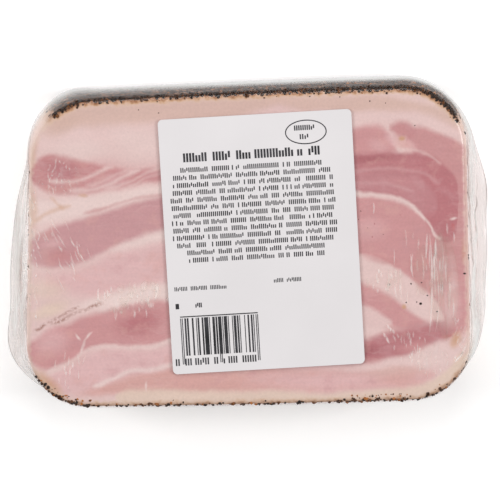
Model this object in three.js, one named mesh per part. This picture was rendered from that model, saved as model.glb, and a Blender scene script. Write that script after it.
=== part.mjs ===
// A slab of pressed streaky bacon with a peppered rind, vacuum-packed in clear film, with a paper
// label on its cut face. The pack lies on its back. Sizes are in millimetres.
//
// +X runs along the slab, +Y towards its upper rind and +Z out of the labelled face.
// The origin is under the middle of the pack, on the surface that it lies on.
import * as THREE from 'three';
import { mergeVertices } from 'three/addons/utils/BufferGeometryUtils.js';

// The slab inside the film. Its cut face is a rounded rectangle with no two sides alike, as a
// pressed belly is, so each corner has its own place and radius. Lean is how much further out the
// corner stands at the back face, where the cut isn't square.
const PACK_DEPTH = 34;
const CORNERS = [
  { x: 69.2, y: -49.8, radius: 19, lean: 1.8, from: -90 },
  { x: 69.1, y: 49.9, radius: 20, lean: 0.3, from: 0 },
  { x: -67.9, y: 48.3, radius: 21, lean: 2.3, from: 90 },
  { x: -70.8, y: -49.2, radius: 19.5, lean: 0, from: 180 },
];
const SIDE_BOW = 0.6; // how far each long side stands out at its middle
const EDGE_RADIUS = 2.4; // where the film turns from a cut face to the rind
const RIND_BULGE = 0.9; // the rind stands out between the two cut faces
const RIND_RELIEF = 0.45; // peppercorns and crags felt through the film

// The two wings are the film's flattened ends, which stand out past the slab's ends.
const WING_HEIGHT = 14; // of the wings' middle above the back face
const WING_SLIMNESS = 1.8; // 1 is a straight tent, more makes the wing flatter
const WING_WAVE = 1.3; // rise and fall of a wing along its edge
const PLEAT_DEPTH = 0.5; // folds of the film where it gathers into a wing
const WINGS = {
  left: { reach: 5.5, top: 36, topFade: 38, bottom: -56, bottomFade: 30, start: 54, full: 66 },
  right: { reach: 5.8, top: 48, topFade: 38, bottom: -47, bottomFade: 28, start: 54, full: 66 },
};

// The paper label, stuck on the film a little off square.
const LABEL_WIDTH = 60.3;
const LABEL_HEIGHT = 80.4;
const LABEL_THICKNESS = 0.25;
const LABEL_CORNER = 1.5;
const LABEL_GLUE = 0.05;
const LABEL_CENTRE = { x: 4.15, y: 2.04 };
const LABEL_TURN = THREE.MathUtils.degToRad(1.85);

// How finely the film is divided: stations round the rind, rings on a cut face, steps round an
// edge, and steps from one cut face to the other.
const STATIONS = 156;
const FACE_SCALES = [0, 0.4, 0.75, 0.92];
const EDGE_STEPS = 3;
const SIDE_STEPS = 12;
const SEED = 20;

const { clamp, degToRad, lerp, smoothstep } = THREE.MathUtils;

// A repeatable source of numbers from 0 to 1.
function seededRandom(seed) {
  let state = seed;
  return () => {
    state = (Math.imul(state, 1664525) + 1013904223) >>> 0;
    return state / 2 ** 32;
  };
}

// The rind's line round a cut face, as evenly spaced stations, each with its outward direction, its
// lean and its distance round.
function rindStations() {
  const line = new THREE.Path();
  for (const { x, y, radius, from } of CORNERS) {
    const start = degToRad(from);
    line.absarc(x - Math.sign(x) * radius, y - Math.sign(y) * radius, radius, start, start + Math.PI / 2);
  }
  line.closePath();
  const length = line.getLength();
  const points = line.getSpacedPoints(STATIONS).slice(0, STATIONS);
  const halfLength = CORNERS[0].x;
  const bowed = points.map(({ x, y }) => {
    const middle = Math.cos((Math.PI / 2) * clamp(x / halfLength, -1, 1));
    return new THREE.Vector2(x, y + Math.sign(y) * SIDE_BOW * middle);
  });
  return bowed.map((point, i) => {
    const before = bowed[(i + STATIONS - 1) % STATIONS];
    const after = bowed[(i + 1) % STATIONS];
    const out = new THREE.Vector2(after.y - before.y, before.x - after.x).normalize();
    const lean = CORNERS.reduce((sum, corner) => {
      const facing = (out.x * Math.sign(corner.x) + out.y * Math.sign(corner.y)) * Math.SQRT1_2;
      return sum + corner.lean * smoothstep(facing, 0.7, 1);
    }, 0);
    return { point, out, lean, along: (length * i) / STATIONS };
  });
}

// How much of its wing the film has at a station, from 0 on the long sides to 1 along an end.
function wingShare({ x, y }) {
  const wing = x < 0 ? WINGS.left : WINGS.right;
  const fromTop = smoothstep(wing.top - y, 0, wing.topFade);
  const fromBottom = smoothstep(y - wing.bottom, 0, wing.bottomFade);
  return { share: fromTop * fromBottom * smoothstep(Math.abs(x), wing.start, wing.full), reach: wing.reach };
}

// The film's section at one station, from the middle of the back face round the side to the middle
// of the front face. Each ring is a share of the way out from the middle, a distance outside the
// rind's line, and a height.
function filmSection(station, random) {
  const { share, reach } = wingShare(station.point);
  const wave = Math.sin(station.along / 9.5) + 0.6 * Math.sin(station.along / 4.1 + 1);
  const section = [];
  for (const scale of FACE_SCALES) section.push({ scale, out: -EDGE_RADIUS, z: 0 });
  for (let step = 0; step <= EDGE_STEPS; step += 1) {
    const turn = (step / EDGE_STEPS) * (Math.PI / 2);
    section.push({
      scale: 1,
      out: -EDGE_RADIUS * (1 - Math.sin(turn)),
      z: EDGE_RADIUS * (1 - Math.cos(turn)),
    });
  }
  for (let step = 1; step < SIDE_STEPS; step += 1) {
    const across = (2 * step) / SIDE_STEPS - 1; // -1 at the back edge, 0 in the middle, 1 at the front
    const fromMiddle = Math.abs(across);
    const span = across > 0 ? PACK_DEPTH - EDGE_RADIUS - WING_HEIGHT : WING_HEIGHT - EDGE_RADIUS;
    const flatness = lerp(1, WING_SLIMNESS, share);
    const bulge = RIND_BULGE * (1 - fromMiddle ** 2);
    const crag = RIND_RELIEF * (random() - 0.4) * (1 - share);
    const pleat = PLEAT_DEPTH * share * fromMiddle * Math.sin(station.along / 1.7);
    const wing = share * reach * (1 + 0.07 * wave) * (1 - fromMiddle) ** 1.6;
    const sway = WING_WAVE * wave * share * (1 - fromMiddle) ** 2;
    section.push({
      scale: 1,
      out: bulge + crag + pleat + wing,
      z: WING_HEIGHT + Math.sign(across) * span * fromMiddle ** flatness + sway,
    });
  }
  const frontEdge = section.slice(0, FACE_SCALES.length + EDGE_STEPS + 1).toReversed();
  for (const ring of frontEdge) section.push({ ...ring, z: PACK_DEPTH - ring.z });
  return section;
}

// The vacuum pack out to its film, as one closed body: a turned blank pressed into the slab's
// outline, station by station and ring by ring.
function sealedPack() {
  const stations = rindStations();
  const random = seededRandom(SEED);
  const sections = stations.map((station) => filmSection(station, random));
  const rings = sections[0].length;
  const blankLine = sections[0].map((_, ring) => {
    const onAxis = ring === 0 || ring === rings - 1;
    return new THREE.Vector2(onAxis ? 0 : 1, ring);
  });
  const blank = new THREE.LatheGeometry(blankLine, STATIONS);
  const position = blank.getAttribute('position');
  for (let i = 0; i < position.count; i += 1) {
    const at = Math.floor(i / rings) % STATIONS;
    const { scale, out, z } = sections[at][i % rings];
    const { point, out: outward, lean } = stations[at];
    const reach = out + lean * (1 - z / PACK_DEPTH);
    position.setXYZ(i, scale * (point.x + outward.x * reach), scale * (point.y + outward.y * reach), z);
  }
  return blank;
}

// The label is die-cut paper with round corners, and its middle is at its own origin.
function labelSheet() {
  const halfWidth = LABEL_WIDTH / 2 - LABEL_CORNER;
  const halfHeight = LABEL_HEIGHT / 2 - LABEL_CORNER;
  const outline = new THREE.Shape();
  outline.absarc(halfWidth, -halfHeight, LABEL_CORNER, -Math.PI / 2, 0);
  outline.absarc(halfWidth, halfHeight, LABEL_CORNER, 0, Math.PI / 2);
  outline.absarc(-halfWidth, halfHeight, LABEL_CORNER, Math.PI / 2, Math.PI);
  outline.absarc(-halfWidth, -halfHeight, LABEL_CORNER, Math.PI, 1.5 * Math.PI);
  return new THREE.ExtrudeGeometry(outline, { depth: LABEL_THICKNESS, bevelEnabled: false, curveSegments: 5 });
}

// Only positions are kept, with shared vertices merged, so that the body is one closed surface.
function closed(geometry) {
  geometry.deleteAttribute('normal');
  geometry.deleteAttribute('uv');
  const merged = mergeVertices(geometry, 1e-3);
  merged.computeVertexNormals();
  return merged;
}

const filmOverBacon = new THREE.MeshStandardMaterial({ color: 0xd3a8a2, roughness: 0.22, metalness: 0 });
const thermalPaper = new THREE.MeshStandardMaterial({ color: 0xebe6e6, roughness: 0.55, metalness: 0 });

const pack = new THREE.Mesh(closed(sealedPack()), filmOverBacon);
pack.name = 'sealed_pack';

const label = new THREE.Mesh(closed(labelSheet()), thermalPaper);
label.name = 'label';
label.rotation.z = LABEL_TURN;
label.position.set(LABEL_CENTRE.x, LABEL_CENTRE.y, PACK_DEPTH + LABEL_GLUE);

// Both pieces are moved together, so that the origin comes under the middle of the pack's length
// and width.
pack.geometry.computeBoundingBox();
const middle = pack.geometry.boundingBox.getCenter(new THREE.Vector3());
const placed = new THREE.Group();
placed.add(pack, label);
placed.position.set(-middle.x, -middle.y, 0);

const baconPack = new THREE.Group();
baconPack.name = 'bacon_pack';
baconPack.add(placed);

export default baconPack;
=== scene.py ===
"""A vacuum-packed slab of pressed, peppered streaky bacon with a paper label on its cut face."""

import math
import random

import bmesh
import bpy
from mathutils import Matrix, Vector, noise


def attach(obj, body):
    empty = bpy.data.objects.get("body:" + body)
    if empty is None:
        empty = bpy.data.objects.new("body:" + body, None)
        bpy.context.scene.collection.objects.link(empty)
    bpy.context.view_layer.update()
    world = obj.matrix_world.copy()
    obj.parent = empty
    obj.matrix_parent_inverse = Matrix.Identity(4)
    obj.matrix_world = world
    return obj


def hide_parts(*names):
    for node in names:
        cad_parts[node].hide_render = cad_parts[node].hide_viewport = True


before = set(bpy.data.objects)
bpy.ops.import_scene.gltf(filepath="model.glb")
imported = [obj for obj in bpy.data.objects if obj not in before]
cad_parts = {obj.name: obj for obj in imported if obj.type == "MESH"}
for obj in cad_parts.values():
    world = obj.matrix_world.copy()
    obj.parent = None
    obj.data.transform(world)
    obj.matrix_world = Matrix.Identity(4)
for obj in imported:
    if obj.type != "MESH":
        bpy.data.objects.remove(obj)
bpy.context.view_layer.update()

# The slab of bacon.
# A smoked belly, pressed to a block and cut square across, so that its two large faces show the
# layers of lean and fat and its long sides keep their rind. Sizes are in millimetres until a piece
# is finished.

SLAB_CORNERS = [  # x, y, radius, lean of the corner at the back face, first angle of its arc
    (69.8, -49.8, 19.0, 1.8, -90),
    (69.7, 49.9, 20.0, 0.3, 0),
    (-67.3, 48.3, 21.0, 2.3, 90),
    (-70.2, -49.2, 19.5, 0.0, 180),
]
HALF_LENGTH = 70.0
SIDE_BOW = 0.6  # how far each long side stands out at its middle
PACK_DEPTH = 34.0
FILM_GAP = 0.55  # from the film's outside to the slab
SLAB_EDGE = 1.7  # radius between a cut face and the rind
RIND_BULGE = 0.9  # the rind stands out between the two cut faces
STATIONS = 480  # round the rind
ARC_STEPS = 24


def smooth(value, low, high):
    """0 at low, 1 at high, and a soft rise between."""
    share = min(max((value - low) / (high - low), 0.0), 1.0)
    return share * share * (3 - 2 * share)


def rind_line(stations):
    """Evenly spaced places round a cut face: point, outward direction, lean and distance round."""
    trace = []
    for x, y, radius, _, start in SLAB_CORNERS:
        centre = Vector((x - math.copysign(radius, x), y - math.copysign(radius, y)))
        for step in range(ARC_STEPS + 1):
            turn = math.radians(start + 90 * step / ARC_STEPS)
            trace.append(centre + radius * Vector((math.cos(turn), math.sin(turn))))
    trace.append(trace[0])
    reached = [0.0]
    for here, there in zip(trace, trace[1:]):
        reached.append(reached[-1] + (there - here).length)
    points = []
    side = 0
    for station in range(stations):
        along = reached[-1] * station / stations
        while reached[side + 1] <= along:
            side += 1
        share = (along - reached[side]) / (reached[side + 1] - reached[side])
        point = trace[side].lerp(trace[side + 1], share)
        point.y += math.copysign(
            SIDE_BOW * math.cos(math.pi / 2 * min(abs(point.x) / HALF_LENGTH, 1)), point.y
        )
        points.append(point)
    places = []
    for station, point in enumerate(points):
        ahead = points[(station + 2) % stations] - points[station - 2]
        out = Vector((ahead.y, -ahead.x)).normalized()
        lean = 0.0
        for x, y, _, corner_lean, _ in SLAB_CORNERS:
            facing = (out.x * math.copysign(1, x) + out.y * math.copysign(1, y)) * math.sqrt(0.5)
            lean += corner_lean * smooth(facing, 0.7, 1.0)
        places.append((point, out, lean, reached[-1] * station / stations))
    return places


RIND = rind_line(STATIONS)


def block_section(face_steps, edge_steps, side_steps, edge, back, front):
    """A pressed block's section, from the middle of its back face round to the middle of its front.
    Each ring has its share of the way out, how far it lies inside the rind, its height, and its
    place on the side from -1 to 1, or None off the side."""
    rings = [(step / face_steps, edge, back, None) for step in range(face_steps)]
    for step in range(edge_steps + 1):
        turn = math.pi / 2 * step / edge_steps
        rings.append((1.0, edge * (1 - math.sin(turn)), back + edge * (1 - math.cos(turn)), None))
    front_rings = [(share, inset, back + front - height, None) for share, inset, height, _ in rings]
    for step in range(1, side_steps):
        across = 2 * step / side_steps - 1
        height = back + edge + (front - back - 2 * edge) * (across + 1) / 2
        rings.append((1.0, 0.0, height, across))
    return rings + front_rings[::-1]


def pressed_block(section, shape, *kept):
    """Wraps a grid round the pack as a closed skin, each vertex in its place. shape gives the
    outward step and height of a ring at a station, and the values kept there as attributes."""
    bm = bmesh.new()
    layers = [bm.verts.layers.float.new(name) for name in kept]
    bmesh.ops.create_grid(bm, x_segments=STATIONS, y_segments=len(section) - 1, size=1.0)
    for vert in bm.verts:
        station = round((vert.co.x + 1) / 2 * STATIONS) % STATIONS
        share, inset, height, across = section[round((vert.co.y + 1) / 2 * (len(section) - 1))]
        point, out, lean, _ = RIND[station]
        step, height, values = shape(RIND[station], share, inset, height, across)
        step += lean * (1 - height / PACK_DEPTH)
        vert.co = Vector((*(share * (point + out * step)), height))
        for layer, value in zip(layers, values):
            vert[layer] = value
    bmesh.ops.remove_doubles(bm, verts=bm.verts, dist=0.002)
    bmesh.ops.recalc_face_normals(bm, faces=bm.faces)
    return bm


def new_object(name, data):
    thing = bpy.data.objects.new(name, data)
    bpy.context.scene.collection.objects.link(thing)
    return thing


def finish_piece(bm, name, material, slot, *nodes):
    """Turns a millimetre bmesh into a smooth piece in metres, riding on the pack."""
    bmesh.ops.scale(bm, vec=(0.001, 0.001, 0.001), verts=bm.verts)
    mesh = bpy.data.meshes.new(name)
    bm.to_mesh(mesh)
    bm.free()
    mesh.shade_smooth()
    mesh.materials.append(material)
    piece = new_object(name, mesh)
    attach(piece, "root")
    if nodes:
        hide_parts(*nodes)
    return piece


def peppered(out):
    """How thickly the rind is peppered, by which way it faces: the upper rind most, the ends not."""
    if out.y > 0:
        return smooth(out.y, 0.6, 0.86) if out.x < 0 else smooth(out.y, 0.33, 0.6)
    return 0.6 * smooth(-out.y, 0.3, 0.65)


def slab_shape(place, share, inset, height, across):
    point, out, _, along = place
    pepper = peppered(out)
    step = -FILM_GAP - inset
    if across is not None:
        crag = noise.noise(Vector((along / 2.4, height / 2.0, 3.0)))
        crag += 0.5 * noise.noise(Vector((along / 1.1, height / 1.1, 9.0)))
        step += RIND_BULGE * (1 - across * across) + crag * (0.12 + 0.3 * pepper)
    from_rind = (1 - share) * max(point.dot(out), 0) + inset
    return step, height, (from_rind, pepper)


def srgb(code):
    """An sRGB hex colour as the linear colour that a shader takes."""
    values = [int(code[i : i + 2], 16) / 255 for i in (1, 3, 5)]
    return tuple(v / 12.92 if v <= 0.04045 else ((v + 0.055) / 1.055) ** 2.4 for v in values) + (1.0,)


def add_node(kind, settings=None, *values, **inputs):
    """Adds a shader node to the tree in hand. Its settings may be just the name of an operation. Its
    first inputs come in order, and others by name or number. Each is a value, a socket to link, or a
    node whose first output is linked."""
    node = tree.nodes.new("ShaderNode" + kind)
    if isinstance(settings, str):
        settings = {"operation": settings}
    for name, value in (settings or {}).items():
        setattr(node, name, value)
    for name, value in [*enumerate(values), *inputs.items()]:
        key = name
        if isinstance(name, str):
            key = int(name[2:]) if name[2:].isdigit() else name.replace("_", " ")
        if isinstance(value, bpy.types.Node):
            value = value.outputs[0]
        if isinstance(value, bpy.types.NodeSocket):
            tree.links.new(value, node.inputs[key])
        else:
            node.inputs[key].default_value = value
    return node


def new_finish(name):
    """A new material and its tree, empty of nodes."""
    material = bpy.data.materials.new(name)
    material.use_nodes = True
    material.node_tree.nodes.clear()
    return material, material.node_tree


def set_tones(ramp, *stops):
    """Sets the stops of a colour ramp: each a place from 0 to 1 and a hex colour."""
    elements = ramp.color_ramp.elements
    for element, (place, code) in zip(elements, (stops[0], stops[-1])):
        element.position = place
        element.color = srgb(code)
    for place, code in stops[1:-1]:
        elements.new(place).color = srgb(code)


def place_in_mm():
    return add_node("VectorMath", "SCALE", add_node("TexCoord").outputs["Object"], Scale=1000.0)


SMOOTHSTEP = {"interpolation_type": "SMOOTHSTEP"}  # of a value, from a first level to a second

# Cured belly, wet under its film: pale pink and cream fat, with lean in long flat layers. The layers
# run right through the slab, so their pattern is read from above and is the same on both faces.
bacon, tree = new_finish("cured_belly_cut_face")
to_mm = place_in_mm()

# The layers' edges wander by about a millimetre over 15 mm, and fray by a fifth of that over 2 mm.
wander = add_node("TexNoise", Vector=to_mm, Scale=1 / 15, Detail=3.0, Roughness=0.55)
fray = add_node("TexNoise", Vector=to_mm, Scale=1 / 2.2, Detail=2.0, Roughness=0.6)
warped = to_mm
for pattern, reach in ((wander, (3.0, 3.4, 0.0)), (fray, (0.6, 0.7, 0.0))):
    centred = add_node("VectorMath", "SUBTRACT", pattern.outputs["Color"], (0.5, 0.5, 0.5))
    warped = add_node("VectorMath", "MULTIPLY_ADD", centred, reach, warped)
axes = add_node("SeparateXYZ", Vector=warped)
from_above = add_node("CombineXYZ", X=axes.outputs["X"], Y=axes.outputs["Y"])
# Float curves run from 0 to 1, so places on the slab are read as a share of a span a little larger.
SPAN_ALONG = 150.0
SPAN_UP = 110.0
along, up = (
    add_node("Math", "MULTIPLY_ADD", axes.outputs[axis], 1 / span, 0.5)
    for axis, span in (("X", SPAN_ALONG), ("Y", SPAN_UP))
)


def above_edge(points, soft):
    """How far a place is above a layer's edge, from 0 to 1 over a soft width either side of it. All
    is in millimetres, and the edge is drawn through points along and up the slab."""
    curve = add_node("FloatCurve", Value=along)
    line = curve.mapping.curves[0].points
    for index, (x, y) in enumerate(points):
        spot = (x / SPAN_ALONG + 0.5, y / SPAN_UP + 0.5)
        if index < 2:
            line[index].location = spot
        else:
            line.new(*spot)
    curve.mapping.update()
    height = add_node("Math", "SUBTRACT", up, curve)
    soft /= SPAN_UP
    return add_node("MapRange", SMOOTHSTEP, height, -soft, soft)


def tinted(colour, tint, amount, *gates):
    """The colour mixed towards a hex tint by an amount from 0 to 1, times any gates."""
    for gate in gates:
        amount = add_node("Math", "MULTIPLY", amount, gate)
    return add_node("Mix", {"data_type": "RGBA"}, amount, in6=colour, in7=srgb(tint)).outputs[2]


def paint_layer(colour, lean, tint, soft, strength, is_lean, stations):
    """Paints one layer over the colour so far. Each station is a place along the slab, the layer's
    upper edge there and its lower edge. Gives the new colour, and the lean so far with this layer."""
    over = above_edge([(x, low) for x, _, low in stations], 1.5 * soft)
    under = above_edge([(x, high) for x, high, _ in stations], 1.5 * soft)
    inside = add_node("Math", {"operation": "SUBTRACT", "use_clamp": True}, over, under)
    amount = add_node("Math", "MULTIPLY", inside, strength)
    if is_lean:
        lean = add_node("Math", "MAXIMUM", lean, amount)
    else:
        opposite = add_node("Math", "SUBTRACT", 1.0, amount)
        lean = add_node("Math", "MULTIPLY", lean, opposite)
    return tinted(colour, tint, amount), lean


def oval(place, x, y, half_x, half_y, turn):
    """1 in the middle of a soft oval, and 0 outside it. Sizes are in millimetres, turn in degrees."""
    texture = {"vector_type": "TEXTURE"}
    turned = (0, 0, math.radians(turn))
    spot = add_node("Mapping", texture, place, (x, y, 0), Rotation=turned, Scale=(half_x, half_y, 1))
    away = add_node("VectorMath", "LENGTH", spot)
    return add_node("MapRange", SMOOTHSTEP, away.outputs["Value"], 1.0, 0.15)


# The tones of the cut face: fat from white to smoked, lean from pale to deep, and what marks them.
WHITE_FAT = "#e9d4cf"
PINK_FAT = "#e3c8c4"
CREAM_FAT = "#e0cab9"
SMOKED_FAT = "#d2b3a6"
PALE_LEAN = "#ddb6b6"
SALMON_LEAN = "#d5a59e"
ROSY_LEAN = "#cb9293"
PURPLE_LEAN = "#c79598"
RED_LEAN = "#c38687"
DARK_LEAN = "#b87479"
DEEP_LEAN = "#a86369"
TAN_STAIN = "#c99b73"
RED_SPOT = "#bb6466"
GRISTLE = "#95604f"
PAPRIKA = "#8f5a34"

# Back fat, with cloudy patches about 20 mm across between two pale pinks.
clouds = add_node("TexNoise", Vector=to_mm, Scale=1 / 20, Detail=2.0)
colour = add_node("ValToRGB", Fac=clouds)
set_tones(colour, (0.35, PINK_FAT), (0.65, "#dfc1bd"))
lean = 0.0

# Each layer's tint, its soft edge in millimetres, its strength, whether it is lean, and its
# stations: a place along the slab, the upper edge there and the lower edge.
LAYERS = [
    # Smoked fat under the upper rind, in two lengths, and pale bands below it.
    (SMOKED_FAT, 1.2, 0.8, False, [
        (-66, 52, 41), (-57, 54, 40.4), (-25, 54, 40.2), (2, 54, 42), (16, 50, 49),
    ]),
    (SMOKED_FAT, 1.2, 0.8, False, [(4, 50, 49), (18, 54, 43), (40, 54, 42), (56, 54, 41), (68, 54, 35)]),
    (PINK_FAT, 0.9, 0.7, False, [
        (16, 48, 48), (26, 50, 47.4), (46, 49.4, 46.4), (56, 46.6, 44), (62, 42, 42),
    ]),
    (PINK_FAT, 0.8, 0.7, False, [
        (0, 43, 43.2), (30, 42.5, 40.5), (45, 41.5, 39), (58, 39, 37.5), (68, 34, 33),
    ]),
    # The upper left lean, deep at its round end and paler towards the label.
    (RED_LEAN, 0.8, 0.95, True, [
        (-68.5, 24, 25), (-66.4, 27, 22.3), (-62, 30.9, 19.6), (-55, 30.7, 18.8), (-46, 27.6, 19.4),
        (-36, 26.4, 21.6), (-24, 26.4, 22.4), (4, 27.5, 24.5), (14, 25, 27),
    ]),
    (ROSY_LEAN, 2.6, 0.75, True, [
        (-53, 25, 26), (-47, 27.6, 19.4), (-34, 26.6, 22), (-24, 26.4, 22.4), (4, 27.5, 24.5),
        (14, 25, 27),
    ]),
    (WHITE_FAT, 1, 0.85, False, [
        (-66, 17, 10), (-55, 17.5, 11), (-40, 19.5, 14.5), (-26, 21, 18.5), (0, 23.5, 20.5),
        (10, 21, 22),
    ]),
    # The long lean below it.
    (PURPLE_LEAN, 0.8, 0.95, True, [
        (-72, 0, 1), (-68, 4, -2.4), (-62.6, 7.6, -4), (-54.7, 9.7, -4), (-45.2, 12.2, -0.3),
        (-36, 14.8, 3.2), (-25, 17.2, 6), (5, 21, 13), (18, 17, 19),
    ]),
    (WHITE_FAT, 0.9, 0.8, False, [
        (-44, 0, 0.2), (-40, 2.6, -0.2), (-36, 4, 0.8), (-30, 6, 2.4), (-25, 7, 3.4),
        (5, 13.4, 10), (14, 12, 12.5),
    ]),
    (PALE_LEAN, 1.8, 0.9, True, [
        (-70, -8, -7), (-61.5, -6.5, -9.5), (-52, -5, -13.5), (-42, -0.6, -13), (-30, 2, -11),
        (-16, 4, -9), (10, 6, 0), (20, 3, 4),
    ]),
    (WHITE_FAT, 1.2, 0.85, False, [
        (-60, -18, -17), (-54, -17, -18.2), (-46, -13.5, -17), (-36, -11.5, -16.5),
        (-24, -9.5, -14.5), (0, -6, -9), (12, -8, -7),
    ]),
    # The lower left lean, and the paler muscle under it.
    (ROSY_LEAN, 0.9, 0.95, True, [
        (-70.5, -29.5, -28.5), (-67, -27.5, -35), (-62.5, -24.9, -36.8), (-55, -21.6, -34),
        (-47, -18.9, -30.3), (-38, -17.3, -30.1), (-25, -15.2, -28.3), (5, -12, -24), (22, -17, -16),
    ]),
    (PALE_LEAN, 1.2, 0.9, True, [
        (-66, -41, -40), (-58, -36.5, -44), (-48, -31.5, -44), (-36, -31, -40), (-24, -30, -37.5),
        (5, -27, -38.5), (34, -32, -38.5), (44, -37.5, -37),
    ]),
    (SALMON_LEAN, 1, 0.95, True, [
        (-60, -46, -45), (-50, -43.5, -45.2), (-42, -40.6, -45), (-32, -38.4, -44.5),
        (-24.5, -37.2, -45), (5, -38.3, -45.6), (36.7, -39.6, -46), (50, -39, -45.6),
        (60, -41, -40),
    ]),
    (PALE_LEAN, 2.2, 0.85, True, [
        (-8, -41, -40), (20, -39.6, -45.6), (36.7, -39.8, -46), (50, -39.2, -45.6), (61, -41, -40),
    ]),
    (CREAM_FAT, 0.9, 0.85, False, [
        (-43, -46, -45), (-39, -43.8, -50), (-32, -43.6, -51), (-24, -44.2, -51), (5, -45.4, -52),
        (40, -46.3, -52), (56, -43.6, -50), (64, -38, -46),
    ]),
    # The upper right leans: a patch by the label, one down the end, and a small one between them.
    (ROSY_LEAN, 1.1, 0.95, True, [
        (24, 32, 33), (34.3, 37, 29), (41.5, 37.4, 28.5), (44.5, 36, 28.5), (47, 31.5, 29.5),
        (49, 29, 30),
    ]),
    (RED_LEAN, 0.8, 0.85, True, [
        (50.5, 30, 31), (53.3, 36.3, 28), (55.5, 36.9, 20), (58.9, 35.7, -30), (62.6, 34.1, -32),
        (66.4, 31.9, -32), (69.4, 29.3, -30),
    ]),
    (RED_LEAN, 1.1, 0.9, True, [
        (44.6, 36, 37), (46.4, 37.6, 35.4), (48.6, 38.4, 33.8), (51.4, 38, 33.2),
        (53.2, 36.4, 34.2), (54.5, 35, 36),
    ]),
    # The dark lean that bends down the right end, and the broad pale one inside its bend.
    (DARK_LEAN, 0.8, 0.95, True, [
        (8, 22, 23), (22, 29, 18), (35, 29.6, 17), (45, 29.4, 15.3), (51, 29.1, 13.1),
        (57, 28.2, 7), (61.5, 25, 0.5), (64.8, 21, 1.5), (67, 14, 15),
    ]),
    (PURPLE_LEAN, 1.4, 0.35, True, [
        (12, 20, 21), (24, 23.6, 18), (35, 23.6, 17), (45, 23.4, 15.3), (52, 22, 12.8),
        (57, 18, 8.5), (60.5, 12, 13),
    ]),
    (ROSY_LEAN, 0.8, 0.95, True, [
        (14, 9, 10), (24, 17, 0), (35, 16.4, -2.2), (41, 15.4, -4), (47, 14, -8.6), (53, 10.6, -13),
        (58, 4.5, -20), (62, -1, -28), (66, -6, -30),
    ]),
    # The band of fat across the lower right, with lean and a wedge of fat below it.
    (PINK_FAT, 0.8, 0.9, False, [
        (20, -3, -2), (30, -2, -9), (36.2, -2.6, -11.4), (40.6, -4, -12.6), (46.3, -7.6, -16.1),
        (51.4, -11.2, -20.3), (56, -14.8, -23.8), (60.3, -20.5, -25), (62, -25, -24),
    ]),
    (ROSY_LEAN, 0.9, 0.95, True, [
        (22, -14, -13), (30, -10, -24), (36.4, -12.4, -25.5), (43, -15.2, -26),
        (49.4, -19.6, -26.4), (55, -24, -25.5), (58, -26, -25),
    ]),
    (PINK_FAT, 0.9, 0.9, False, [
        (22, -22, -21), (30, -17.6, -28), (36.8, -18.9, -28.3), (40.3, -20.6, -27.6),
        (43.2, -22.8, -26.2), (46, -25.2, -24.4),
    ]),
    (DARK_LEAN, 1, 0.95, True, [
        (14, -31, -30), (26, -29.8, -37.4), (37.2, -29.5, -37.2), (43, -27.6, -36.2),
        (48.7, -26.4, -35.3), (55, -25.4, -32.4), (61, -25.2, -30.8), (66, -29, -28),
    ]),
    (PINK_FAT, 1, 0.85, False, [
        (20, -38.5, -38), (34, -37.4, -39.2), (44, -36.6, -39), (52, -34.2, -38.2),
        (60, -31, -38), (68, -28, -36),
    ]),
]
for tint, soft, strength, is_lean, stations in LAYERS:
    colour, lean = paint_layer(colour, lean, tint, soft, strength, is_lean, stations)

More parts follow.
